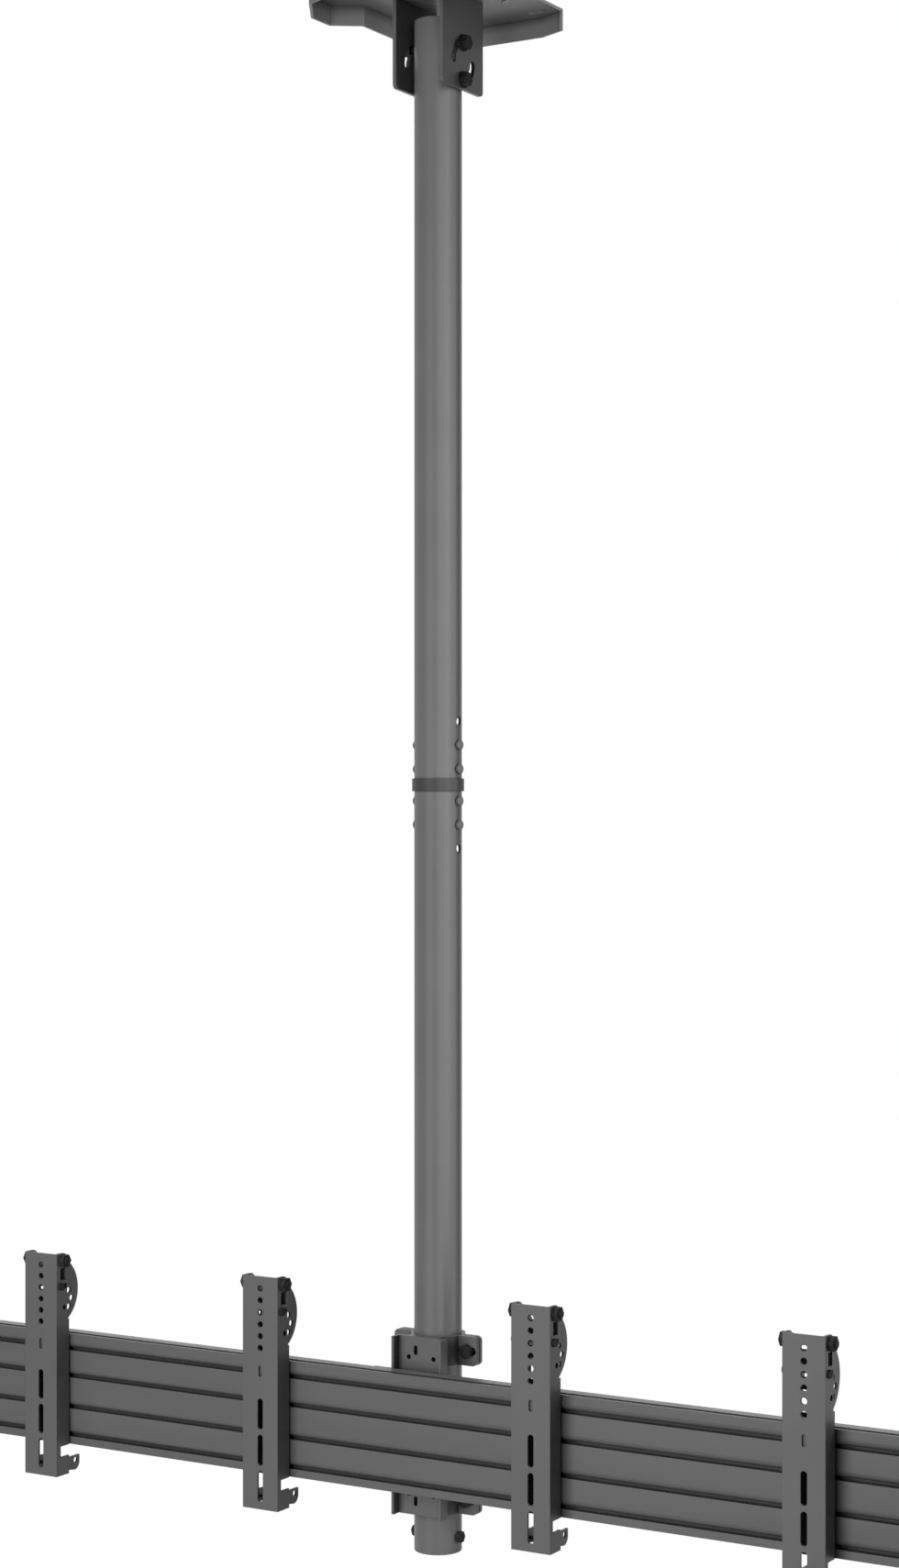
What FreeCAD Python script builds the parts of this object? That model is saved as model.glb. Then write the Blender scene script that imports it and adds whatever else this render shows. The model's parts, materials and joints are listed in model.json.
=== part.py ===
import FreeCAD, Part
import os
from math import asin, cos, degrees, radians, sin, sqrt

# Dual-screen ceiling mount: a tilting ceiling plate, a two-part pole, a clamped carriage with a wide
# extruded rail, and four tilting screen arms that hook on the rail and slide along it.
# Millimetres. Z = 0 is the ceiling, +Z is up, X runs along the rail and -Y is the screen side.

# Ceiling plate
plate_width = 208.0
plate_depth = 304.0
plate_t = 4.0
rim_height = 28.0
rim_t = 3.5
tab_reach = 35.0
tab_back = 13.0
tab_front = 79.0
tab_slant = 24.0
corner_cut_x = 38.0
corner_cut_y = 16.0
anchor_spacing_x = 150.0
anchor_spacing_y = 240.0
anchor_hole_d = 11.0
anchor_slot_length = 26.0

# Tilt clevis under the plate
clevis_t = 5.0
clevis_gap = 63.0
ear_depth = 98.0
ear_below_centre = 35.0
ear_corner_r = 6.0
tilt_centre_drop = 88.0
tilt_bolt_circle_r = 23.0
tilt_bolt_d = 10.0
tilt_max_deg = 90.0
tilt_slot_gap = 0.4

# Pole
pole_d = 60.0
pole_wall = 3.0
pole_length = 950.0
pole_above_centre = 54.0
end_cap_t = 2.0
end_cap_round = 1.5
end_cap_depth = 16.0
end_cap_wall = 2.5
safety_bolt_rise = 18.0
safety_bolt_d = 8.0

# Pole coupler
ring_d = 65.5
ring_height = 16.0
sleeve_wall = 4.0
sleeve_reach = 66.0
sleeve_gap = 0.15
coupler_bolt_d = 8.0
coupler_bolt_first = 20.0
coupler_bolt_pitch = 30.0
coupler_spare_hole_d = 11.0
spare_hole_turn_deg = 60.0
coupler_head_d = 13.0
coupler_head_t = 4.0
coupler_head_edge = 1.2

# Rail extrusion
rail_length = 1800.0
rail_height = 146.0
rail_depth = 28.0
rail_front = 81.0
rail_rise = 160.0
rail_wall = 3.0
lip_depths = (22.0, 58.0, 99.0, 136.0)
cove_r = 9.0
lip_gap = 3.0
lip_drop = 7.0
hook_slot_start = 3.5
hook_slot_width = 8.0
hook_slot_depth = 7.0
tee_offset = 35.0
tee_mouth = 9.0
tee_width = 17.0
tee_depth = 8.0
tee_lip = 3.5
tee_head_gap = 1.0
rail_cap_t = 3.0
rail_edge_r = 1.0

# Carriage behind the rail
carrier_half_width = 36.0
carrier_t = 3.5
carrier_above_rail = 40.0
carrier_below_rail = 36.0
carrier_lip = 26.0
web_slot_d = 5.0
web_slot_length = 12.0
web_slot_x = -8.0
web_slot_inset = 17.0
web_hole_d = 6.0
web_hole_spread = 18.0
web_hole_inset = 26.0
web_hole_depth = 8.0
clamp_wall = 4.0
clamp_height = 36.5
clamp_gap = 2.0
clamp_wing_t = 6.0
clamp_wing_reach = 60.0
clamp_bolt_x = 46.0
clamp_bolt_d = 10.0
clamp_slot_length = 26.0
clamp_corner_r = 6.0
clamp_run_gap = 0.3
clamp_pad_half = 22.0
rail_bolt_d = 8.0

# Screen arms
screen_offset = 371.0
arm_spacing = 352.0
arm_width = 53.0
arm_height = 293.0
arm_below_rail = 38.5
arm_front = 110.0
arm_t = 3.0
flange_depth = 26.0
flange_upper_depth = 22.0
flange_notch_depth = 7.0
flange_notch_height = 14.0
arm_hole_d = 8.0
arm_hole_count = 6
arm_hole_pitch = 15.0
arm_hole_first = 15.0
small_slot_d = 5.0
small_slot_length = 14.0
small_slot_depth = 2.2
small_slot_share = 0.46
arm_slot_d = 8.0
arm_slot_length = 39.0
arm_slot_pitch = 45.5
arm_slot_last = 29.0
arm_slot_count = 3

# Arm tilt
pivot_d = 10.0
pivot_below_top = 9.5
pivot_behind_front = 13.0
pivot_run_gap = 0.05
ear_r = 10.0
ear_front_cut = 2.0
arm_tilt_deg = 15.0
lock_drop = 34.0
lock_forward = 4.0
lock_screw_d = 6.0
lock_slot_gap = 0.4
lock_head_d = 10.0
lock_head_t = 2.5
lock_head_gap = 0.3
sight_depth = 11.0
sight_drop = 9.5
sight_height = 16.0
sight_hole_d = 7.0
sight_hole_depth = 16.0
sight_hole_drop = 62.0

# Hook bracket
bracket_side_gap = 0.6
bracket_t = 2.5
bracket_rail_gap = 0.5
bracket_front_gap = 2.0
bulge_reach = 49.0
bulge_middle_share = 0.48
bulge_bottom_share = 0.81
bracket_web_top = 22.0
window_half_width = 15.0
window_sill = 12.0
window_height = 26.0
hook_seat_gap = 0.3
hook_side_gap = 1.0
hook_depth = 5.0
index_hole_d = 8.0
neck_width = 8.0
index_depth = 35.5
index_step_back = 6.0
index_share = 0.57
index_pitch = 11.0

# Lock latch under the rail
latch_t = 3.0
latch_pivot_rise = 13.0
latch_reach = 43.0
latch_height = 23.0
latch_rise = 6.0
latch_fall = 13.0
latch_corner_r = 10.0
latch_hole_d = 8.0
latch_eye_inset = 8.0
latch_tie_width = 14.0
latch_tie_rise = 3.0
latch_pin_d = 5.0
latch_side_gap = 0.3

# Fasteners: across flats and height of a hexagon, each as a multiple of the thread size
hex_flats = 1.6
hex_height = 0.68
washer_factor = 2.1
washer_t = 2.0
bolt_hole_gap = 0.25
thread_gap = 0.05
bolt_end = 2.0

# How far a cutter reaches past a face, and the share of a corner's radius that its arc's middle lies inside
overrun = 1.0
corner_lean = 1 - 1 / sqrt(2)

# The way an inset outline's sides are joined: run on to a sharp corner
sharp_join = 2

# Levels worked out from the sizes above
pole_r = pole_d / 2
pole_bore_r = pole_r - pole_wall
tilt_z = -tilt_centre_drop
pole_top_z = tilt_z + pole_above_centre
ring_z = pole_top_z - pole_length - ring_height / 2
lower_top_z = ring_z - ring_height / 2
pole_bottom_z = lower_top_z - pole_length
rail_mid_z = pole_bottom_z - end_cap_t + rail_rise
rail_top_z = rail_mid_z + rail_height / 2
rail_bottom_z = rail_mid_z - rail_height / 2
rail_back = rail_front - rail_depth
arm_above_rail = arm_height - rail_height - arm_below_rail
arm_top_z = rail_top_z + arm_above_rail
arm_bottom_z = arm_top_z - arm_height
pivot_y = -(arm_front - pivot_behind_front)
pivot_z = arm_top_z - pivot_below_top
arm_centres = [
    side * (screen_offset + place * arm_spacing / 2)
    for side, place in ((-1, 1), (-1, -1), (1, -1), (1, 1))
]

X_AXIS = FreeCAD.Vector(1, 0, 0)
Y_AXIS = FreeCAD.Vector(0, 1, 0)
Z_AXIS = FreeCAD.Vector(0, 0, 1)


def point(x, y, z):
    return FreeCAD.Vector(x, y, z)


def block(x0, x1, y0, y1, z0, z1):
    """A box between two corners."""
    return Part.makeBox(x1 - x0, y1 - y0, z1 - z0, point(x0, y0, z0))


def rod(radius, start, end):
    """A cylinder from one point to another."""
    along = end.sub(start)
    return Part.makeCylinder(radius, along.Length, start, along)


def bore(diameter, x0, x1, y, z):
    """A cutter for a round hole along X, reaching past both ends."""
    return rod(diameter / 2, point(x0 - overrun, y, z), point(x1 + overrun, y, z))


def outline(start, steps, place):
    """A closed wire. A step is a point to draw a line to, or a pair (middle, end) of an arc."""
    edges = []
    here = start
    for step in steps:
        if isinstance(step[0], tuple):
            middle, end = step
            edges.append(Part.Arc(place(*here), place(*middle), place(*end)).toShape())
        else:
            end = step
            edges.append(Part.LineSegment(place(*here), place(*end)).toShape())
        here = end
    if (place(*here) - place(*start)).Length > 1e-6:
        edges.append(Part.LineSegment(place(*here), place(*start)).toShape())
    return Part.Wire(edges)


def side_plate(start, steps, x0, x1):
    """A plate cut from a Y-Z outline, between two X values."""
    wire = outline(start, steps, lambda y, z: point(x0, y, z))
    return Part.Face(wire).extrude(point(x1 - x0, 0, 0))


def slot_along(axis, radius, length, centre, normal, thickness):
    """A round-ended cutter, end to end length along axis, centred on a point and cut along normal."""
    half = length / 2 - radius
    across = normal.cross(axis)
    start = centre - normal * (thickness / 2)
    signs = ((-1, -1), (1, -1), (1, 1), (-1, 1))
    corners = [start + axis * (a * half) + across * (b * radius) for a, b in signs]
    ends = [start + axis * (half + radius), start - axis * (half + radius)]
    wire = Part.Wire([
        Part.LineSegment(corners[0], corners[1]).toShape(),
        Part.Arc(corners[1], ends[0], corners[2]).toShape(),
        Part.LineSegment(corners[2], corners[3]).toShape(),
        Part.Arc(corners[3], ends[1], corners[0]).toShape(),
    ])
    return Part.Face(wire).extrude(normal * thickness)


def arc_slot(centre_y, centre_z, radius, width, start_deg, sweep_deg, x0, x1):
    """A round-ended curved cutter about an X axis. Angles run from +Y towards +Z."""
    def at(r, degrees):
        angle = radians(degrees)
        return (centre_y + r * cos(angle), centre_z + r * sin(angle))

    half = width / 2
    end_deg = start_deg + sweep_deg
    middle_deg = start_deg + sweep_deg / 2
    cap = degrees(half / radius)

    def beyond(degrees, turn):
        return at(radius / cos(radians(cap)), degrees + turn * cap)

    steps = [
        (at(radius + half, middle_deg), at(radius + half, end_deg)),
        (beyond(end_deg, 1), at(radius - half, end_deg)),
        (at(radius - half, middle_deg), at(radius - half, start_deg)),
        (beyond(start_deg, -1), at(radius + half, start_deg)),
    ]
    return side_plate(at(radius + half, start_deg), steps, x0, x1)


def hexagon(flats, height, base, direction):
    """A hexagonal prism standing on a base point along a direction."""
    corner_r = flats / sqrt(3)
    turn = FreeCAD.Rotation(Z_AXIS, direction)
    corners = []
    for i in range(6):
        angle = radians(60 * i + 30)
        corners.append(base + turn.multVec(point(corner_r * cos(angle), corner_r * sin(angle), 0)))
    return Part.Face(Part.makePolygon(corners + corners[:1])).extrude(direction * height)


def hex_bolt(size, length, seat, direction):
    """A hexagon bolt whose head seats on a point, with the shank running along direction."""
    head = hexagon(size * hex_flats, size * hex_height, seat, direction * -1)
    return head.fuse(rod(size / 2, seat, seat + direction * length)).removeSplitter()


def hex_nut(size, seat, direction):
    """A nut that seats on a point and stands along direction, bored for its thread."""
    height = size * hex_height
    body = hexagon(size * hex_flats, height, seat, direction)
    start = seat - direction * overrun
    return body.cut(rod(size / 2 + thread_gap, start, start + direction * (height + 2 * overrun)))


def washer(size, seat, direction):
    """A flat washer standing on a point along direction."""
    outer = rod(size * washer_factor / 2, seat, seat + direction * washer_t)
    start = seat - direction * overrun
    return outer.cut(rod(size / 2 + bolt_hole_gap, start, start + direction * (washer_t + 2 * overrun)))


def nut_height(size):
    return size * hex_height


def round_head(diameter, height, edge, seat, direction):
    """A low round head standing on a point along direction, with its outer edge bevelled."""
    head = rod(diameter / 2, seat, seat + direction * height)
    rim = [e for e in head.Edges if abs((e.CenterOfMass - seat).dot(direction) - height) < 1e-6]
    return head.makeChamfer(edge, rim)


# Ceiling plate: a folded tray with its corners cut, its rim turned down, an anchor tab on each side
# and its right side open behind the tab, for a wrench
def plate_outline():
    half_x = plate_width / 2
    half_y = plate_depth / 2
    tab_x = half_x + tab_reach
    right = [
        (half_x - corner_cut_x, -half_y),
        (half_x, -half_y + corner_cut_y),
        (tab_x, -tab_front),
        (tab_x, -tab_back - tab_slant),
        (half_x, -tab_back),
        (half_x, half_y - corner_cut_y),
        (half_x - corner_cut_x, half_y),
    ]
    left = [(-x, y) for x, y in reversed(right)]
    return right + left


def ceiling_plate():
    corners = plate_outline()
    plan = Part.Face(outline(corners[0], corners[1:], lambda x, y: point(x, y, -rim_height)))
    tray = plan.extrude(Z_AXIS * rim_height)
    hollow = plan.makeOffset2D(-rim_t, sharp_join)
    tray = tray.cut(hollow.extrude(Z_AXIS * (rim_height - plate_t)))
    half = plate_width / 2
    side_end = plate_depth / 2 - corner_cut_y - rim_t
    below = -rim_height - overrun
    tray = tray.cut(block(half - rim_t - overrun, half + overrun, -tab_back, side_end, below, -plate_t))
    for sx in (-1, 1):
        for sy in (-1, 1):
            place = point(sx * anchor_spacing_x / 2, sy * anchor_spacing_y / 2, -plate_t / 2)
            through = plate_t + 2 * overrun
            hole = slot_along(X_AXIS, anchor_hole_d / 2, anchor_slot_length, place, Z_AXIS, through)
            tray = tray.cut(hole)
    return tray


# Tilt clevis: a folded U whose ears carry two curved slots about the tilt centre
def tilt_clevis():
    inner = clevis_gap / 2
    outer = inner + clevis_t
    top = -plate_t
    bottom = tilt_z - ear_below_centre
    half = ear_depth / 2
    r = ear_corner_r
    lean = r * corner_lean
    ear_steps = [
        (-half, bottom + r),
        ((-half + lean, bottom + lean), (-half + r, bottom)),
        (half - r, bottom),
        ((half - lean, bottom + lean), (half, bottom + r)),
        (half, top),
    ]
    body = side_plate((-half, top), ear_steps, -outer, outer)
    body = body.cut(block(-inner, inner, -half - overrun, half + overrun, bottom - overrun, top - clevis_t))
    slot_width = tilt_bolt_d + 2 * tilt_slot_gap
    for start in (90, 270):
        reach = outer + overrun
        slot = arc_slot(0, tilt_z, tilt_bolt_circle_r, slot_width, start, tilt_max_deg, -reach, reach)
        body = body.cut(slot)
    return body


def tilt_fasteners():
    """Two bolts through the pole head and the clevis slots, with nuts and washers."""
    ear_outer = clevis_gap / 2 + clevis_t
    bolts = []
    nuts = []
    washers = []
    for side in (-1, 1):
        z = tilt_z + side * tilt_bolt_circle_r
        head_seat = point(ear_outer + washer_t, 0, z)
        nut_seat = point(-ear_outer - washer_t, 0, z)
        length = 2 * (ear_outer + washer_t) + nut_height(tilt_bolt_d) + bolt_end
        bolts.append(hex_bolt(tilt_bolt_d, length, head_seat, X_AXIS * -1))
        nuts.append(hex_nut(tilt_bolt_d, nut_seat, X_AXIS * -1))
        washers.append(washer(tilt_bolt_d, point(ear_outer, 0, z), X_AXIS))
        washers.append(washer(tilt_bolt_d, point(-ear_outer, 0, z), X_AXIS * -1))
    return bolts, nuts, washers


# Pole tubes
def tube(top_z, bottom_z):
    outer = rod(pole_r, point(0, 0, bottom_z), point(0, 0, top_z))
    return outer.cut(rod(pole_bore_r, point(0, 0, bottom_z - overrun), point(0, 0, top_z + overrun)))


def cross_hole(diameter, z):
    return rod(diameter / 2, point(-pole_d, 0, z), point(pole_d, 0, z))


def coupler_levels(side):
    """Heights of the bolts and of the spare hole on one side of the coupler ring."""
    return [ring_z + side * (coupler_bolt_first + i * coupler_bolt_pitch) for i in range(3)]


def coupler_holes(side):
    near, far, _ = coupler_levels(side)
    return [cross_hole(coupler_bolt_d + 2 * bolt_hole_gap, z) for z in (near, far)]


def spare_holes(side):
    """Holes in a tube beyond the sleeve: one straight across, one turned from it."""
    spare = coupler_levels(side)[-1]
    turn = radians(spare_hole_turn_deg)
    outside = point(pole_d * cos(turn), pole_d * sin(turn), spare)
    turned = rod(coupler_spare_hole_d / 2, point(0, 0, spare), outside)
    return [cross_hole(coupler_spare_hole_d, spare), turned]


def upper_pole():
    body = tube(pole_top_z, pole_top_z - pole_length)
    cutters = coupler_holes(1) + spare_holes(1)
    for side in (-1, 1):
        cutters.append(cross_hole(tilt_bolt_d + 2 * bolt_hole_gap, tilt_z + side * tilt_bolt_circle_r))
    return body.cut(cutters)


def safety_bolt_z():
    return pole_bottom_z + safety_bolt_rise


def lower_pole():
    body = tube(lower_top_z, pole_bottom_z)
    cutters = coupler_holes(-1) + spare_holes(-1)
    cutters.append(cross_hole(safety_bolt_d + 2 * bolt_hole_gap, safety_bolt_z()))
    return body.cut(cutters)


def pole_coupler():
    """An inner sleeve with a ring between the two tubes."""
    sleeve_r = pole_bore_r - sleeve_gap
    low = point(0, 0, ring_z - sleeve_reach)
    high = point(0, 0, ring_z + sleeve_reach)
    body = rod(sleeve_r, low, high)
    ring = rod(ring_d / 2, point(0, 0, ring_z - ring_height / 2), point(0, 0, ring_z + ring_height / 2))
    body = body.fuse(ring).removeSplitter()
    body = body.cut(rod(sleeve_r - sleeve_wall, low - Z_AXIS * overrun, high + Z_AXIS * overrun))
    return body.cut(coupler_holes(1) + coupler_holes(-1))


def coupler_fasteners():
    """Low-headed bolts across the pole, each with a low round nut flush with the bolt's end."""
    bolts = []
    nuts = []
    for side in (-1, 1):
        for z in coupler_levels(side)[:2]:
            head_seat = point(pole_r, 0, z)
            nut_seat = point(-pole_r, 0, z)
            shank_end = nut_seat - X_AXIS * coupler_head_t
            head = round_head(coupler_head_d, coupler_head_t, coupler_head_edge, head_seat, X_AXIS)
            bolts.append(head.fuse(rod(coupler_bolt_d / 2, head_seat, shank_end)).removeSplitter())
            nut = round_head(coupler_head_d, coupler_head_t, coupler_head_edge, nut_seat, X_AXIS * -1)
            nuts.append(nut.cut(cross_hole(coupler_bolt_d + 2 * thread_gap, z)))
    return bolts, nuts


def pole_end_cap():
    """A moulded plug with a rounded rim that covers the tube's lower end."""
    base = point(0, 0, pole_bottom_z - end_cap_t)
    rim = rod(pole_r, base, point(0, 0, pole_bottom_z))
    lower_edges = [e for e in rim.Edges if abs(e.BoundBox.ZMax - base.z) < 1e-6]
    rim = rim.makeFillet(end_cap_round, lower_edges)
    plug_r = pole_bore_r - sleeve_gap
    floor = point(0, 0, pole_bottom_z)
    plug = rod(plug_r, floor, floor + Z_AXIS * end_cap_depth)
    hollow = rod(plug_r - end_cap_wall, floor, floor + Z_AXIS * (end_cap_depth + overrun))
    body = rim.fuse(plug.cut(hollow)).removeSplitter()
    return body.cut(cross_hole(safety_bolt_d + 2 * bolt_hole_gap, safety_bolt_z()))


def safety_fasteners():
    z = safety_bolt_z()
    length = 2 * pole_r + nut_height(safety_bolt_d) + bolt_end
    bolt = hex_bolt(safety_bolt_d, length, point(pole_r, 0, z), X_AXIS * -1)
    return bolt, hex_nut(safety_bolt_d, point(-pole_r, 0, z), X_AXIS * -1)


# Rail: one extrusion. Depth runs back from its front face, drop runs down from its top edge.
def rail_place(depth, drop):
    return point(-rail_length / 2, -rail_front + depth, rail_top_z - drop)


def rail_face(start, steps):
    return Part.Face(outline(start, steps, rail_place))


def rail_box(depth0, depth1, drop0, drop1):
    return rail_face((depth0, drop0), [(depth1, drop0), (depth1, drop1), (depth0, drop1)])


def hook_groove(lip):
    """A groove in the front: the wall above rolls inwards, the wall below ends in a free lip."""
    roll_top = lip - lip_gap - cove_r
    lean = cove_r / sqrt(2)
    roll_middle = (cove_r - lean, roll_top + lean)
    steps = [
        (roll_middle, (cove_r, roll_top + cove_r)),
        (cove_r, lip + lip_drop),
        (rail_wall, lip + lip_drop),
        (rail_wall, lip),
        (-overrun, lip),
        (-overrun, roll_top),
    ]
    return rail_face((0, roll_top), steps)


def tee_slot(drop):
    neck = rail_box(rail_depth - tee_lip, rail_depth + overrun, drop - tee_mouth / 2, drop + tee_mouth / 2)
    room = rail_box(
        rail_depth - tee_lip - tee_depth, rail_depth - tee_lip, drop - tee_width / 2, drop + tee_width / 2
    )
    return [neck, room]


def rail():
    section = rail_box(0, rail_depth, 0, rail_height)
    back_wall = rail_depth - rail_wall
    middle_wall = cove_r + rail_wall
    tee_drops = [rail_height / 2 - tee_offset, rail_height / 2 + tee_offset]
    tee_half = tee_width / 2 + rail_wall
    cutters = [hook_groove(lip) for lip in lip_depths]
    cutters.append(rail_box(hook_slot_start, hook_slot_start + hook_slot_width, -overrun, hook_slot_depth))
    for drop in tee_drops:
        cutters.extend(tee_slot(drop))
    hook_wall = hook_slot_start + hook_slot_width + rail_wall
    cutters.append(rail_box(hook_wall, back_wall, rail_wall, tee_drops[0] - tee_half))
    cutters.append(rail_box(middle_wall, back_wall, tee_drops[0] + tee_half, tee_drops[1] - tee_half))
    cutters.append(rail_box(middle_wall, back_wall, tee_drops[1] + tee_half, rail_height - rail_wall))
    for upper, lower in zip(lip_depths, lip_depths[1:]):
        roll_top = lower - lip_gap - cove_r
        cutters.append(rail_box(rail_wall, cove_r, upper + lip_drop + rail_wall, roll_top - rail_wall))
    section = section.cut(cutters)
    return section.extrude(X_AXIS * rail_length).Solids[0]


def rail_end_cap(side):
    """A plain moulded plate over the cut end of the rail."""
    x0 = side * rail_length / 2
    x1 = x0 + side * rail_cap_t
    plate = block(min(x0, x1), max(x0, x1), -rail_front, -rail_back, rail_bottom_z, rail_top_z)
    outer_edges = [e for e in plate.Edges if abs(e.CenterOfMass.x - x1) < 1e-6]
    return plate.makeFillet(rail_edge_r, outer_edges)


# Carriage: a folded hat-section carrier, and two pipe clamps
def carrier_web_front():
    return -(pole_r + clamp_run_gap + clamp_wall + clamp_wing_t / 2)


def rail_carrier():
    high = rail_top_z + carrier_above_rail
    low = rail_bottom_z - carrier_below_rail
    half = carrier_half_width
    web_back = carrier_web_front()
    web_front = web_back - carrier_t
    front = -rail_back
    body = block(-half, half, front, web_back, low, high)
    room = half - carrier_t
    body = body.cut(block(-room, room, front - overrun, web_front, low - overrun, high + overrun))
    for side in (-1, 1):
        x0 = side * (half - carrier_t)
        x1 = side * (half + carrier_lip)
        lip = block(min(x0, x1), max(x0, x1), front, front + carrier_t, rail_bottom_z, rail_top_z)
        body = body.fuse(lip)
    body = body.removeSplitter()
    for z in rail_bolt_levels():
        for side in (-1, 1):
            x = side * rail_bolt_x()
            hole_r = rail_bolt_d / 2 + bolt_hole_gap
            body = body.cut(rod(hole_r, point(x, front - overrun, z), point(x, 0, z)))
    return body.cut(carrier_web_cutters())


def carrier_web_cutters():
    """A slot and two round holes above the rail, and the same below it, through the web into the clamps."""
    start = carrier_web_front() - carrier_t - overrun
    end = carrier_web_front() + web_hole_depth
    middle = (start + end) / 2
    cutters = []
    for edge, inwards in (
        (rail_top_z + carrier_above_rail, -1),
        (rail_bottom_z - carrier_below_rail, 1),
    ):
        slot_z = edge + inwards * web_slot_inset
        place = point(web_slot_x, middle, slot_z)
        cutters.append(slot_along(Z_AXIS, web_slot_d / 2, web_slot_length, place, Y_AXIS, end - start))
        hole_z = edge + inwards * web_hole_inset
        for side in (-1, 1):
            x = side * web_hole_spread
            cutters.append(rod(web_hole_d / 2, point(x, start, hole_z), point(x, end, hole_z)))
    return cutters


def rail_bolt_x():
    return carrier_half_width + carrier_lip / 2


def rail_bolt_levels():
    return [rail_mid_z - tee_offset, rail_mid_z + tee_offset]


def rail_fasteners():
    """Tee bolts in the rail's rear slots, and their nuts on the carrier's lips."""
    bolts = []
    nuts = []
    seat_y = -rail_back - tee_lip
    lip_back = -rail_back + carrier_t
    head_h = tee_depth - tee_head_gap
    head_half = tee_width / 2 - tee_head_gap
    for z in rail_bolt_levels():
        for side in (-1, 1):
            x = side * rail_bolt_x()
            head = block(x - head_half, x + head_half, seat_y - head_h, seat_y, z - head_half, z + head_half)
            tip = lip_back + nut_height(rail_bolt_d) + bolt_end
            shank = rod(rail_bolt_d / 2, point(x, seat_y, z), point(x, tip, z))
            bolts.append(head.fuse(shank).removeSplitter())
            nuts.append(hex_nut(rail_bolt_d, point(x, lip_back, z), Y_AXIS))
    return bolts, nuts


def clamp_half(low, front):
    """Half of a pipe clamp. The front half has a flat pad that is welded to the carrier's web."""
    high = low + clamp_height
    bore_r = pole_r + clamp_run_gap
    outer_r = bore_r + clamp_wall
    ring = rod(outer_r, point(0, 0, low), point(0, 0, high))
    face = clamp_wing_t + clamp_gap / 2
    wings = block(-clamp_wing_reach, clamp_wing_reach, -face, face, low, high)
    corners = [e for e in wings.Edges if abs(abs(e.CenterOfMass.x) - clamp_wing_reach) < 1e-6 and
               abs(e.BoundBox.YLength - e.Length) < 1e-6]
    body = ring.fuse(wings.makeFillet(clamp_corner_r, corners))
    if front:
        body = body.fuse(block(-clamp_pad_half, clamp_pad_half, carrier_web_front(), 0, low, high))
        body = body.cut(carrier_web_cutters())
    below = low - overrun
    above = high + overrun
    body = body.cut(rod(bore_r, point(0, 0, below), point(0, 0, above)))
    far = 2 * clamp_wing_reach
    if front:
        body = body.cut(block(-far, far, -clamp_gap / 2, far, below, above))
    else:
        body = body.cut(block(-far, far, -far, clamp_gap / 2, below, above))
    hole_r = clamp_bolt_d / 2 + bolt_hole_gap
    z = low + clamp_height / 2
    for side in (-1, 1):
        place = point(side * clamp_bolt_x, 0, z)
        body = body.cut(slot_along(X_AXIS, hole_r, clamp_slot_length, place, Y_AXIS, far))
    return body.removeSplitter()


def clamp_lows():
    upper = rail_top_z + carrier_above_rail - clamp_height
    lower = rail_bottom_z - carrier_below_rail
    return upper, lower


def clamp_fasteners():
    bolts = []
    nuts = []
    face = clamp_wing_t + clamp_gap / 2
    for low in clamp_lows():
        z = low + clamp_height / 2
        for side in (-1, 1):
            x = side * clamp_bolt_x
            length = 2 * face + nut_height(clamp_bolt_d) + bolt_end
            bolts.append(hex_bolt(clamp_bolt_d, length, point(x, -face, z), Y_AXIS))
            nuts.append(hex_nut(clamp_bolt_d, point(x, face, z), Y_AXIS))
    return bolts, nuts


# Screen arm: a folded channel with the screen holes in its front
def arm(centre):
    half = arm_width / 2
    front = -arm_front
    inner = front + arm_t
    notch_top = rail_bottom_z
    notch_low = notch_top - flange_notch_height
    ear_top = pivot_z + ear_r
    steps = [
        (front + flange_depth, arm_bottom_z),
        (front + flange_depth, notch_low),
        (front + flange_notch_depth, notch_low),
        (front + flange_notch_depth, notch_top),
        (front + flange_depth, notch_top),
        (front + flange_depth, bulge_bottom_z()),
        (front + flange_upper_depth, bulge_bottom_z()),
        (front + flange_upper_depth, pivot_z - ear_r),
        (pivot_y + ear_r, pivot_z),
        ((pivot_y + ear_r / sqrt(2), pivot_z + ear_r / sqrt(2)), (pivot_y, ear_top)),
        (front + ear_front_cut, ear_top),
        (front, ear_top - ear_front_cut),
    ]
    flanges = side_plate((front, arm_bottom_z), steps, centre - half, centre + half)
    left = centre - half + arm_t
    right = centre + half - arm_t
    above = ear_top + overrun
    room = block(left, right, inner, front + flange_depth + overrun, arm_bottom_z - overrun, above)
    above_front = block(left, right, front - overrun, inner + overrun, arm_top_z, above)
    body = flanges.cut(room)
    body = body.fuse(block(centre - half, centre + half, front, inner, arm_bottom_z, arm_top_z))
    return body.cut(above_front).removeSplitter().cut(arm_cutters(centre))


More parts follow.
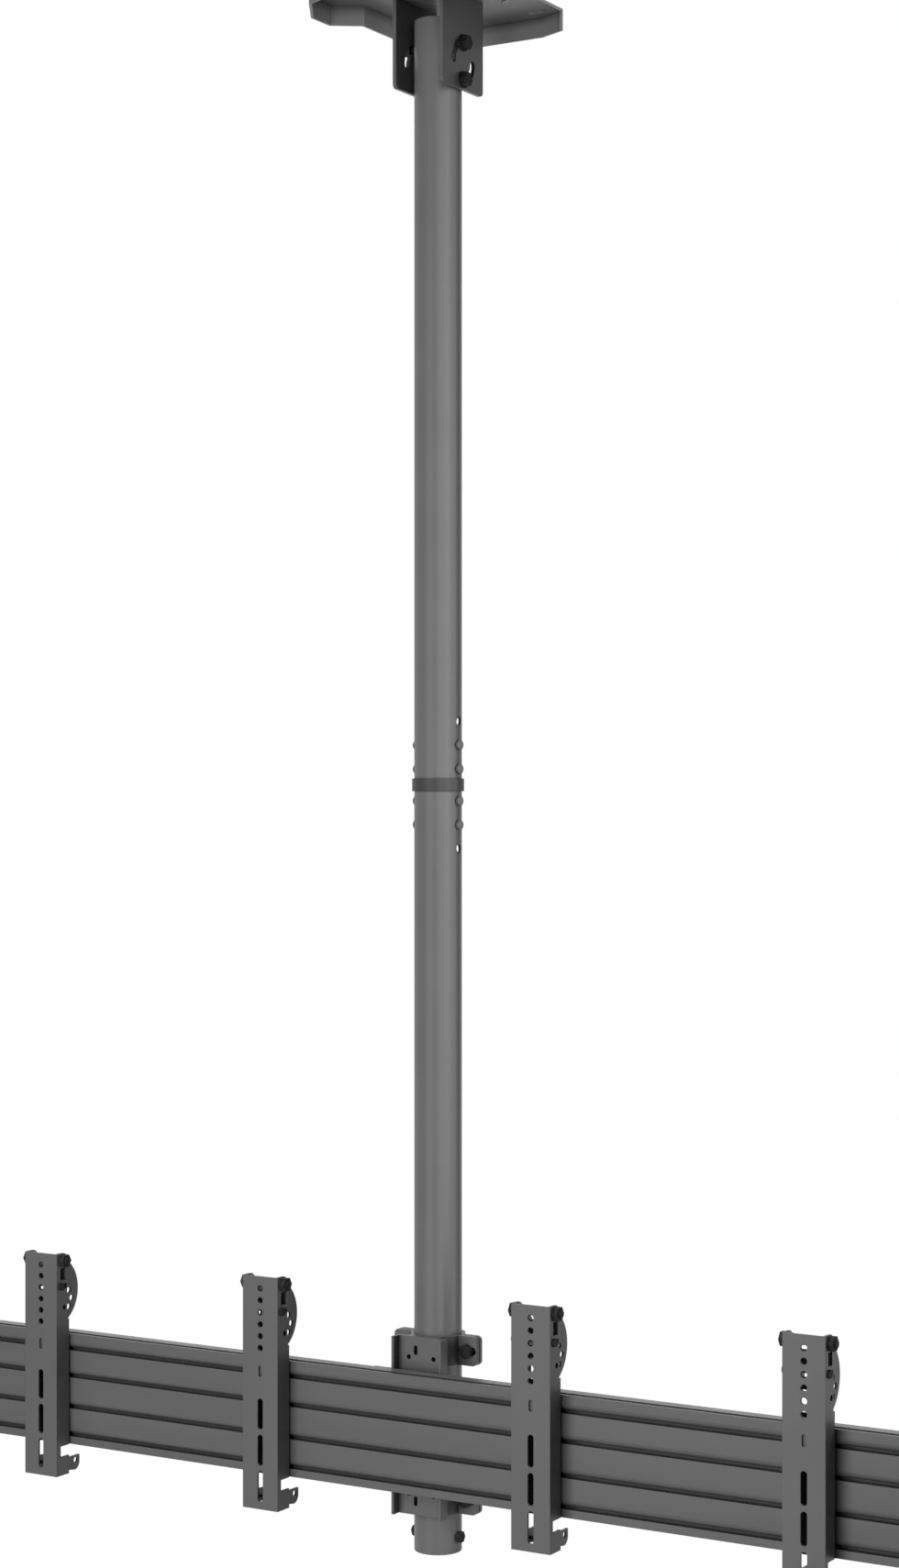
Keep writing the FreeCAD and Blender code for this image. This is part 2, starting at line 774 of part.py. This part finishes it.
def arm_cutters(centre):
    """The screen holes and slots, the pivot holes, the tilt lock's curved slots and the side openings."""
    middle = -arm_front + arm_t / 2
    through = arm_t + 2 * overrun
    cutters = []
    for i in range(arm_hole_count):
        z = arm_top_z - arm_hole_first - i * arm_hole_pitch
        start = point(centre, middle - through / 2, z)
        cutters.append(rod(arm_hole_d / 2, start, start + Y_AXIS * through))
    last_hole_z = arm_top_z - arm_hole_first - (arm_hole_count - 1) * arm_hole_pitch
    slot_levels = [arm_bottom_z + arm_slot_last + i * arm_slot_pitch for i in range(arm_slot_count)]
    slots_top_z = slot_levels[-1] + arm_slot_length / 2
    pressed = small_slot_depth + overrun
    small_z = last_hole_z - small_slot_share * (last_hole_z - slots_top_z)
    small = point(centre, -arm_front - overrun + pressed / 2, small_z)
    cutters.append(slot_along(Z_AXIS, small_slot_d / 2, small_slot_length, small, Y_AXIS, pressed))
    for z in slot_levels:
        place = point(centre, middle, z)
        cutters.append(slot_along(Z_AXIS, arm_slot_d / 2, arm_slot_length, place, Y_AXIS, through))
    x0 = centre - arm_width / 2
    x1 = centre + arm_width / 2
    cutters.append(bore(pivot_d + 2 * pivot_run_gap, x0, x1, pivot_y, pivot_z))
    width = lock_screw_d + 2 * lock_slot_gap
    start = lock_start_deg()
    left = x0 - overrun
    right = x1 + overrun
    cutters.append(arc_slot(pivot_y, pivot_z, lock_drop, width, start, arm_tilt_deg, left, right))
    return cutters + sight_cutters(centre)


def sight_cutters(centre):
    """A window under the pivot and a round hole lower down, through an arm and its bracket."""
    x0 = centre - arm_width / 2 - overrun
    x1 = centre + arm_width / 2 + overrun
    top = pivot_z - sight_drop
    window = block(x0, x1, pivot_y - sight_depth / 2, pivot_y + sight_depth / 2, top - sight_height, top)
    return [window, bore(sight_hole_d, x0, x1, -arm_front + sight_hole_depth, pivot_z - sight_hole_drop)]


def lock_start_deg():
    """Direction from the pivot to the lock screw, from +Y towards +Z."""
    return 270 - degrees(asin(lock_forward / lock_drop))


def lock_place():
    angle = radians(lock_start_deg())
    return pivot_y + lock_drop * cos(angle), pivot_z + lock_drop * sin(angle)


def pivot_fasteners(centre):
    half = arm_width / 2
    length = arm_width + nut_height(pivot_d) + bolt_end
    bolt = hex_bolt(pivot_d, length, point(centre - half, pivot_y, pivot_z), X_AXIS)
    return bolt, hex_nut(pivot_d, point(centre + half, pivot_y, pivot_z), X_AXIS)


# Hook bracket: a folded channel inside the arm, hooked over the rail's top lip
def bracket_half():
    return arm_width / 2 - arm_t - bracket_side_gap


def bracket_front():
    return -arm_front + arm_t + bracket_front_gap


def bulge_bottom_z():
    return arm_top_z - arm_above_rail * bulge_bottom_share


def latch_pivot():
    return bracket_front() + neck_width, arm_bottom_z + latch_pivot_rise


def hook_bracket(centre):
    half = bracket_half()
    front = bracket_front()
    back = -rail_front - bracket_rail_gap
    pivot_r = -pivot_y + front
    bulge_middle_z = arm_top_z - arm_above_rail * bulge_middle_share
    pin_y, pin_z = latch_pivot()
    foot_r = neck_width
    steps = [
        ((pin_y, pin_z - foot_r), (pin_y + foot_r, pin_z)),
        (front + neck_width, rail_bottom_z - flange_notch_height),
        (front + neck_width, rail_bottom_z),
        (back, rail_bottom_z),
        (back, bulge_bottom_z()),
        ((-arm_front + bulge_reach, bulge_middle_z), (pivot_y + ear_r, pivot_z)),
        (pivot_y - pivot_r, pivot_z),
        ((pivot_y, pivot_z - pivot_r), (front, pivot_z)),
    ]
    body = side_plate((pin_y - foot_r, pin_z), steps, centre - half, centre + half)
    left = centre - half + bracket_t
    right = centre + half - bracket_t
    before = front - overrun
    below = arm_bottom_z - overrun
    above = arm_top_z + ear_r
    room = block(left, right, before, back - bracket_t, below, above)
    above_web = block(left, right, before, 0, arm_top_z - bracket_web_top, above)
    behind_web = block(left, right, back, 0, rail_top_z - overrun, above)
    below_web = block(left, right, before, 0, below, rail_bottom_z)
    body = body.cut([room, above_web, behind_web, below_web])
    body = body.cut(hook_window(centre)).fuse(hook_tongue(centre)).removeSplitter()
    return body.cut(bracket_cutters(centre))


def hook_seat_z():
    return rail_top_z + hook_seat_gap


def hook_window(centre):
    """The opening in the web above the hook tongue."""
    low = hook_seat_z() + bracket_t + window_sill
    back = -rail_front - bracket_rail_gap + overrun
    front = back - bracket_t - 2 * overrun
    half = window_half_width
    return block(centre - half, centre + half, front, back, low, low + window_height)


def hook_tongue(centre):
    """The tongue that reaches back over the rail's top lip and down into the slot behind it."""
    seat = hook_seat_z()
    web_front = -rail_front - bracket_rail_gap - bracket_t
    nose_front = -rail_front + hook_slot_start + hook_side_gap
    nose_back = -rail_front + hook_slot_start + hook_slot_width - hook_side_gap
    tip = rail_top_z - hook_depth
    outer_r = bracket_t
    lean = outer_r * corner_lean
    top = seat + bracket_t
    steps = [
        (web_front, top),
        (nose_back - outer_r, top),
        ((nose_back - lean, top - lean), (nose_back, top - outer_r)),
        (nose_back, tip),
        (nose_front, tip),
        (nose_front, seat),
        (web_front + bracket_t, seat),
        (web_front + bracket_t, seat - bracket_t),
    ]
    x0 = centre - window_half_width
    return side_plate((web_front, seat - bracket_t), steps, x0, x0 + 2 * window_half_width)


def bracket_cutters(centre):
    """Pivot, lock and latch holes, and the small index holes along the bulge."""
    x0 = centre - bracket_half()
    x1 = centre + bracket_half()
    cutters = [
        bore(pivot_d + 2 * pivot_run_gap, x0, x1, pivot_y, pivot_z),
        bore(lock_screw_d + 2 * bolt_hole_gap, x0, x1, *lock_place()),
        bore(latch_pin_d + 2 * bolt_hole_gap, x0, x1, *latch_pivot()),
    ]
    for y, z in index_places():
        cutters.append(bore(index_hole_d, x0, x1, y, z))
    return cutters + sight_cutters(centre)


def index_places():
    """Three small holes on an arc inside the bulge's edge."""
    bulge_y = -arm_front + index_depth
    middle_z = arm_top_z - arm_above_rail * index_share
    return [(bulge_y - abs(i) * index_step_back, middle_z - i * index_pitch) for i in (-1, 0, 1)]


def lock_screws(centre):
    """One headed screw each side, through the arm's curved slot into a nut plate on the bracket."""
    lock_y, lock_z = lock_place()
    screws = []
    for side in (-1, 1):
        outward = X_AXIS * side
        seat = point(centre + side * (arm_width / 2 + lock_head_gap), lock_y, lock_z)
        inner = point(centre + side * (bracket_half() - bracket_t), lock_y, lock_z)
        head = rod(lock_head_d / 2, seat, seat + outward * lock_head_t)
        foot = hexagon(lock_screw_d * hex_flats, nut_height(lock_screw_d), inner, outward * -1)
        screws.append(head.fuse([rod(lock_screw_d / 2, inner, seat), foot]).removeSplitter())
    return screws


# Latch: two rounded plates tied together, which swing up under the rail so that the arm can't be lifted off
def latch(centre):
    pin_y, pin_z = latch_pivot()
    half = bracket_half() - bracket_t - latch_side_gap
    x0 = centre - half
    x1 = centre + half
    nose_r = neck_width
    top = pin_z + latch_rise
    bottom = pin_z - latch_fall
    tail = pin_y + latch_reach
    lean = latch_corner_r * corner_lean
    steps = [
        (tail - latch_corner_r, bottom),
        ((tail - lean, bottom + lean), (tail, bottom + latch_corner_r)),
        (tail, top),
        (tail - latch_height, top),
        (pin_y, pin_z + nose_r),
        ((pin_y - nose_r, pin_z), (pin_y, pin_z - nose_r)),
    ]
    body = side_plate((pin_y, pin_z - nose_r), steps, x0, x0 + latch_t)
    body = body.fuse(side_plate((pin_y, pin_z - nose_r), steps, x1 - latch_t, x1))
    tie_back = tail - latch_corner_r
    tie_low = bottom + latch_tie_rise
    body = body.fuse(block(x0, x1, tie_back - latch_tie_width, tie_back, tie_low, tie_low + latch_t))
    pin_hole = bore(latch_pin_d + 2 * pivot_run_gap, x0, x1, pin_y, pin_z)
    eye = bore(latch_hole_d, x0, x1, tail - latch_eye_inset, pin_z)
    return body.removeSplitter().cut([pin_hole, eye])


def latch_pin(centre):
    """A pin across the bracket, riveted flush with its sides."""
    pin_y, pin_z = latch_pivot()
    half = bracket_half()
    return rod(latch_pin_d / 2, point(centre - half, pin_y, pin_z), point(centre + half, pin_y, pin_z))


def build():
    """Every piece by its name. A list is a group of like fasteners."""
    pieces = {"ceiling_plate": ceiling_plate(), "tilt_clevis": tilt_clevis()}
    pieces["tilt_bolts"], pieces["tilt_nuts"], pieces["tilt_washers"] = tilt_fasteners()
    pieces["upper_pole"] = upper_pole()
    pieces["lower_pole"] = lower_pole()
    pieces["pole_coupler"] = pole_coupler()
    pieces["coupler_bolts"], pieces["coupler_nuts"] = coupler_fasteners()
    pieces["pole_end_cap"] = pole_end_cap()
    pieces["safety_bolt"], pieces["safety_nut"] = safety_fasteners()
    pieces["rail"] = rail()
    pieces["rail_cap_left"] = rail_end_cap(-1)
    pieces["rail_cap_right"] = rail_end_cap(1)
    pieces["rail_carrier"] = rail_carrier()
    pieces["rail_bolts"], pieces["rail_nuts"] = rail_fasteners()
    for name, low in zip(("upper", "lower"), clamp_lows()):
        pieces[name + "_clamp_front"] = clamp_half(low, True)
        pieces[name + "_clamp_rear"] = clamp_half(low, False)
    pieces["clamp_bolts"], pieces["clamp_nuts"] = clamp_fasteners()
    for number, centre in enumerate(arm_centres, 1):
        tail = "_" + str(number)
        pieces["arm" + tail] = arm(centre)
        pieces["pivot_bolt" + tail], pieces["pivot_nut" + tail] = pivot_fasteners(centre)
        pieces["hook_bracket" + tail] = hook_bracket(centre)
        pieces["lock_screws" + tail] = lock_screws(centre)
        pieces["latch" + tail] = latch(centre)
        pieces["latch_pin" + tail] = latch_pin(centre)
    return pieces


os.makedirs("parts", exist_ok=True)
for name, shape in build().items():
    if isinstance(shape, list):
        shape = Part.makeCompound(shape)
    shape.exportStep("parts/" + name + ".step")
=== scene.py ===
import bpy
import json
from math import cos, radians, sin
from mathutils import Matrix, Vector


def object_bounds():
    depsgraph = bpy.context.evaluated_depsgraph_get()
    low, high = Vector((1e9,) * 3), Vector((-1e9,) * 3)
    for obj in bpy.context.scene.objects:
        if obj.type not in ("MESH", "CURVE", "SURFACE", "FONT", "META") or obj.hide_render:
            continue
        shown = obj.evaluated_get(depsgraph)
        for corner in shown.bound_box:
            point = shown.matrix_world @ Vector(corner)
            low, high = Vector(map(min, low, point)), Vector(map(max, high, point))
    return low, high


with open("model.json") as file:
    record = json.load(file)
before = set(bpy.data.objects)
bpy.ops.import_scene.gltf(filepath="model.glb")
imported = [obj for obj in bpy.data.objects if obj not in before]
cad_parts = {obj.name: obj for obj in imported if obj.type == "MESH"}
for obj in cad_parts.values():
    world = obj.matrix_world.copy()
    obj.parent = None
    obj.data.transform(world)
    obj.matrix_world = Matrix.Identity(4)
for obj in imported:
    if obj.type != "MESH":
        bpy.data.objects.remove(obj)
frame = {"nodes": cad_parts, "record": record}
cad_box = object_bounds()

nodes = frame["nodes"]
slots = {part["node"]: part["material_slot"] for part in frame["record"]["subparts"]}

# The photograph's height and the camera fitted to it, in pixels, degrees and metres
PHOTO_HEIGHT = 1710
FOCAL_PX = 3100.0
HORIZON_PX = 863.2
AZIMUTH_DEG = 31.0
CAMERA_DISTANCE = 3.570
SIDE_SHIFT = 0.0143
CAMERA_HEIGHT = -1.0003
SENSOR_MM = 36.0

# Finish colours, linear
COAT_COLOUR = (0.120, 0.120, 0.122)
COUPLER_COLOUR = (0.045, 0.045, 0.046)
FASTENER_COLOUR = (0.024, 0.024, 0.025)
PLASTIC_COLOUR = (0.105, 0.105, 0.107)
FLOOR_COLOUR = (0.80, 0.80, 0.80)

# Lowest and highest share of its colour that a finish drifts between
COAT_TONES = (0.95, 1.05)
ZINC_TONES = (0.8, 1.5)
PLASTIC_TONES = (0.9, 1.1)
FLOOR_TONES = (0.98, 1.0)

# The part of a noise's range in which the tone goes from low to high
TONE_RANGE = (0.3, 0.7)
ZINC_TONE_RANGE = (0.3, 0.75)

# Noises: scale and detail
COAT_DRIFT = (9.0, 3.0)
COAT_GRAIN = (1500.0, 2.0)
ORANGE_PEEL = (420.0, 2.0)
ZINC_DRIFT = (260.0, 3.0)
ZINC_GRAIN = (900.0, 2.0)
SPARK_GRAIN = (1100.0, 4.0)
FLOOR_DRIFT = (3.0, 3.0)

# Bumps: strength and height in metres
PEEL_BUMP = (0.10, 0.0006)
COAT_BUMP = (0.06, 0.0002)
ZINC_BUMP = (0.08, 0.0003)
SPARK_BUMP = (0.20, 0.0003)

# Roughness, lowest and highest
COAT_ROUGHNESS = (0.32, 0.44)
ZINC_ROUGHNESS = (0.58, 0.72)
PLASTIC_ROUGHNESS = (0.50, 0.66)
FLOOR_ROUGHNESS = 0.8

# Strength of the sheen of coats and platings
COAT_GLOSS = 0.20
COUPLER_GLOSS = 0.13
ZINC_GLOSS = 0.08
HEAD_GLOSS = 0.60

# Stretch of a noise: the same all ways, or along the rail, as the tone of a drawn profile runs
EVEN = (1, 1, 1)
ALONG_RAIL = (0.15, 1.0, 3.0)

# Small rounding on every folded or cut edge, in the shading
EDGE_ROUND = 0.0008
EDGE_SAMPLES = 4

# Painted shade: grooves and folds within this reach are darkened in the coat's colour by ambient
# occlusion
PAINTED_SHADE_REACH = 0.012
PAINTED_SHADE_SAMPLES = 8

# Facets that meet at less than this angle are one smooth surface, once their corners are welded
SMOOTH_ANGLE = radians(32)
WELD_DISTANCE = 0.00002


class Graph:
    """A material's node tree with short helpers to add and link nodes."""

    def __init__(self, name):
        self.material = bpy.data.materials.new(name)
        self.material.use_nodes = True
        self.tree = self.material.node_tree
        self.shader = self.tree.nodes["Principled BSDF"]
        coordinates = self.tree.nodes.new("ShaderNodeTexCoord")
        self.position = coordinates.outputs["Object"]
        soft_edge = self.add("ShaderNodeBevel", Radius=EDGE_ROUND)
        soft_edge.samples = EDGE_SAMPLES
        self.soft_edge = soft_edge.outputs["Normal"]

    def add(self, kind, **values):
        node = self.tree.nodes.new(kind)
        for name, value in values.items():
            node.inputs[name].default_value = value
        return node

    def link(self, output, socket):
        self.tree.links.new(output, socket)

    def shade_with(self, output, name):
        self.link(output, self.shader.inputs[name])

    def set(self, name, value):
        self.shader.inputs[name].default_value = value

    def noise(self, pattern, stretch=EVEN):
        scale, detail = pattern
        mapping = self.add("ShaderNodeMapping", Scale=stretch)
        self.link(self.position, mapping.inputs["Vector"])
        texture = self.add("ShaderNodeTexNoise", Scale=scale, Detail=detail)
        self.link(mapping.outputs["Vector"], texture.inputs["Vector"])
        return texture.outputs["Fac"]

    def tone(self, factor, colour, tones, across=TONE_RANGE):
        ramp = self.tree.nodes.new("ShaderNodeValToRGB")
        for element, place, share in zip(ramp.color_ramp.elements, across, tones):
            element.position = place
            element.color = (*(channel * share for channel in colour), 1)
        self.link(factor, ramp.inputs["Fac"])
        return ramp.outputs["Color"]

    def spread(self, factor, limits):
        mapped = self.add("ShaderNodeMapRange")
        low, high = limits
        mapped.inputs["To Min"].default_value = low
        mapped.inputs["To Max"].default_value = high
        self.link(factor, mapped.inputs["Value"])
        return mapped.outputs["Result"]

    def bump(self, height, form, under=None):
        strength, distance = form
        bump = self.add("ShaderNodeBump", Strength=strength, Distance=distance)
        self.link(height, bump.inputs["Height"])
        self.link(under or self.soft_edge, bump.inputs["Normal"])
        return bump.outputs["Normal"]

    # Painted shade: darkens the colour by ambient occlusion in grooves and folds, where less light falls
    def painted_shade_in_folds(self, colour):
        folds = self.add("ShaderNodeAmbientOcclusion", Distance=PAINTED_SHADE_REACH)
        folds.samples = PAINTED_SHADE_SAMPLES
        folds.only_local = True
        self.link(colour, folds.inputs["Color"])
        return folds.outputs["Color"]


def powder_coat(name, colour, gloss, stretch=EVEN):
    """Satin powder coat: a fine orange-peel skin, a faint drift in tone, and painted shade in its grooves
    and folds.
    """
    graph = Graph(name)
    tone = graph.tone(graph.noise(COAT_DRIFT, stretch), colour, COAT_TONES)
    # The base colour carries painted shade in grooves and folds
    graph.shade_with(graph.painted_shade_in_folds(tone), "Base Color")
    grain = graph.noise(COAT_GRAIN)
    graph.shade_with(graph.spread(grain, COAT_ROUGHNESS), "Roughness")
    peel = graph.bump(graph.noise(ORANGE_PEEL), PEEL_BUMP)
    graph.shade_with(graph.bump(grain, COAT_BUMP, peel), "Normal")
    graph.set("Specular IOR Level", gloss)
    return graph.material


def black_zinc(name, gloss):
    """Black plated steel of the fasteners, with a slight drift in tone and roughness."""
    graph = Graph(name)
    drift = graph.noise(ZINC_DRIFT)
    graph.shade_with(graph.tone(drift, FASTENER_COLOUR, ZINC_TONES, ZINC_TONE_RANGE), "Base Color")
    graph.shade_with(graph.spread(drift, ZINC_ROUGHNESS), "Roughness")
    graph.shade_with(graph.bump(graph.noise(ZINC_GRAIN), ZINC_BUMP), "Normal")
    graph.set("Specular IOR Level", gloss)
    return graph.material


def moulded_plastic(name):
    """Fine spark-grain plastic of the end caps."""
    graph = Graph(name)
    grain = graph.noise(SPARK_GRAIN)
    graph.shade_with(graph.tone(grain, PLASTIC_COLOUR, PLASTIC_TONES), "Base Color")
    graph.shade_with(graph.spread(grain, PLASTIC_ROUGHNESS), "Roughness")
    graph.shade_with(graph.bump(grain, SPARK_BUMP), "Normal")
    return graph.material


finishes = {
    "coated_steel": powder_coat("coated_steel", COAT_COLOUR, COAT_GLOSS),
    "rail_aluminium": powder_coat("rail_aluminium", COAT_COLOUR, COAT_GLOSS, ALONG_RAIL),
    "dark_fasteners": black_zinc("dark_fasteners", ZINC_GLOSS),
    "cap_plastic": moulded_plastic("cap_plastic"),
}
# The coupler's ring is coated darker than the tubes it joins, and the round heads of its bolts shine more
special_finishes = {
    "pole_coupler": powder_coat("coupler_steel", COUPLER_COLOUR, COUPLER_GLOSS),
    "coupler_bolts": black_zinc("round_heads", HEAD_GLOSS),
}


def dress(name, piece):
    """The node's finish, with its facets welded, smooth where they curve and sharp where they fold."""
    piece.data.materials.clear()
    piece.data.materials.append(special_finishes.get(name) or finishes[slots[name]])
    weld = piece.modifiers.new("weld", "WELD")
    weld.merge_threshold = WELD_DISTANCE
    fold = piece.modifiers.new("fold", "EDGE_SPLIT")
    fold.split_angle = SMOOTH_ANGLE
    for polygon in piece.data.polygons:
        polygon.use_smooth = True


for node_name, node_piece in nodes.items():
    dress(node_name, node_piece)


def place_camera():
    """A level camera at the photograph's viewing angle, its lens shifted to put the horizon in place."""
    turn = radians(AZIMUTH_DEG)
    data = bpy.data.cameras.new("photo_camera")
    data.sensor_width = SENSOR_MM
    data.lens = FOCAL_PX / PHOTO_HEIGHT * SENSOR_MM
    data.shift_y = (HORIZON_PX - PHOTO_HEIGHT / 2) / PHOTO_HEIGHT
    camera = bpy.data.objects.new("photo_camera", data)
    bpy.context.scene.collection.objects.link(camera)
    side = Vector((cos(turn), sin(turn), 0))
    back = Vector((sin(turn), -cos(turn), 0))
    camera.location = side * SIDE_SHIFT + back * CAMERA_DISTANCE + Vector((0, 0, CAMERA_HEIGHT))
    camera.rotation_euler = (radians(90), 0, turn)
    bpy.context.scene.camera = camera


place_camera()

# Lights: one from above and soft boxes round the object, some for the coat's colour or its sheen alone
MIDDLE = (0, 0, -1.0)
OVERHEAD = (0, 0, 1)
SKY_ANGLE = radians(15)


def hang_lamp(name, data, place, power):
    data.energy = power
    lamp = bpy.data.objects.new(name, data)
    bpy.context.scene.collection.objects.link(lamp)
    lamp.location = place
    aim = Vector(MIDDLE) - Vector(place)
    lamp.rotation_euler = aim.to_track_quat("-Z", "Y").to_euler()
    return lamp


def soft_box(name, place, size, power, matt=True, gloss=True):
    data = bpy.data.lights.new(name, "AREA")
    data.shape = "RECTANGLE"
    data.size, data.size_y = size
    lamp = hang_lamp(name, data, place, power)
    lamp.visible_diffuse = matt
    lamp.visible_glossy = gloss
    return lamp


def skylight(name, power):
    data = bpy.data.lights.new(name, "SUN")
    data.angle = SKY_ANGLE
    lamp = hang_lamp(name, data, OVERHEAD, power)
    lamp.visible_glossy = False


soft_box("key", place=(-0.35, -2.6, -1.15), size=(1.6, 2.8), power=66)
soft_box("back", place=(-1.5, 3.4, -0.9), size=(2.4, 2.4), power=110, gloss=False)
soft_box("side", place=(3.2, 1.2, -1.2), size=(1.2, 3.0), power=26)
skylight("top", power=2.4)
tube_lamps = [
    soft_box("tube_fill", place=(0, -2.6, 0.1), size=(1.2, 1.6), power=14, gloss=False),
    soft_box("front_sheen", place=(2.2, -2.2, -0.7), size=(2.2, 3.6), power=150, matt=False),
    soft_box("side_sheen", place=(3.35, -0.6, -0.7), size=(1.5, 3.6), power=170, matt=False),
    soft_box("edge_sheen", place=(3.15, 1.27, -0.7), size=(1.6, 3.6), power=95, matt=False),
]
plate_fill = soft_box("fill", place=(2.1, -1.3, -0.2), size=(1.2, 1.2), power=95, gloss=False)


def group(name, members):
    """A collection of nodes that a lamp is linked to."""
    collection = bpy.data.collections.new(name)
    for member in members:
        collection.objects.link(nodes[member])
    return collection


# The tube lamps light the round tubes and the coupler's bolts alone.
# The plate's fill lights the plate alone, and only the plate shades it.
tubes = group("tubes", ("upper_pole", "lower_pole", "pole_coupler", "coupler_bolts", "pole_end_cap"))
for tube_lamp in tube_lamps:
    tube_lamp.light_linking.receiver_collection = tubes
plate = group("plate", ("ceiling_plate",))
plate_fill.light_linking.receiver_collection = plate
plate_fill.light_linking.blocker_collection = plate

# World: white to the camera, through glass and in reflections, and weak as light
AMBIENT = 0.05
WHITE = 1.0


def light_world():
    world = bpy.data.worlds.new("studio")
    bpy.context.scene.world = world
    world.use_nodes = True
    tree = world.node_tree
    background = tree.nodes["Background"]
    background.inputs["Color"].default_value = (1, 1, 1, 1)
    path = tree.nodes.new("ShaderNodeLightPath")
    seen = path.outputs["Is Camera Ray"]
    for ray in ("Is Transmission Ray", "Is Glossy Ray"):
        either = tree.nodes.new("ShaderNodeMath")
        either.operation = "MAXIMUM"
        tree.links.new(seen, either.inputs[0])
        tree.links.new(path.outputs[ray], either.inputs[1])
        seen = either.outputs[0]
    level = tree.nodes.new("ShaderNodeMapRange")
    level.inputs["To Min"].default_value = AMBIENT
    level.inputs["To Max"].default_value = WHITE
    tree.links.new(seen, level.inputs["Value"])
    tree.links.new(level.outputs["Result"], background.inputs["Strength"])


light_world()

# Floor: a pale round stand-in for the room's floor, fading out, below the photograph's view.
# It has an upper side only, so that it doesn't hide the object from below.
FLOOR_DROP = 0.60
FLOOR_RADIUS = 1.2
FLOOR_SIDES = 96
FLOOR_OPACITY = (1.0, 0.0)


def floor_mesh():
    step = radians(360 / FLOOR_SIDES)
    ring = [(FLOOR_RADIUS * cos(i * step), FLOOR_RADIUS * sin(i * step), 0) for i in range(FLOOR_SIDES)]
    mesh = bpy.data.meshes.new("floor")
    mesh.from_pydata(ring, [], [list(range(FLOOR_SIDES))])
    return mesh


def floor_finish():
    graph = Graph("floor")
    graph.shade_with(graph.tone(graph.noise(FLOOR_DRIFT), FLOOR_COLOUR, FLOOR_TONES), "Base Color")
    away = graph.add("ShaderNodeVectorMath")
    away.operation = "LENGTH"
    graph.link(graph.position, away.inputs[0])
    fade = graph.spread(away.outputs["Value"], FLOOR_OPACITY)
    fade.node.inputs["From Max"].default_value = FLOOR_RADIUS
    fade.node.interpolation_type = "SMOOTHSTEP"
    upper_side = graph.add("ShaderNodeMath")
    upper_side.operation = "SUBTRACT"
    upper_side.use_clamp = True
    graph.link(fade, upper_side.inputs[0])
    geometry = graph.add("ShaderNodeNewGeometry")
    graph.link(geometry.outputs["Backfacing"], upper_side.inputs[1])
    graph.shade_with(upper_side.outputs[0], "Alpha")
    graph.set("Roughness", FLOOR_ROUGHNESS)
    return graph.material


def lay_floor():
    mesh = floor_mesh()
    mesh.materials.append(floor_finish())
    floor = bpy.data.objects.new("floor", mesh)
    floor.location.z = cad_box[0][2] - FLOOR_DROP
    bpy.context.scene.collection.objects.link(floor)


lay_floor()

bpy.context.scene.view_settings.view_transform = "Standard"
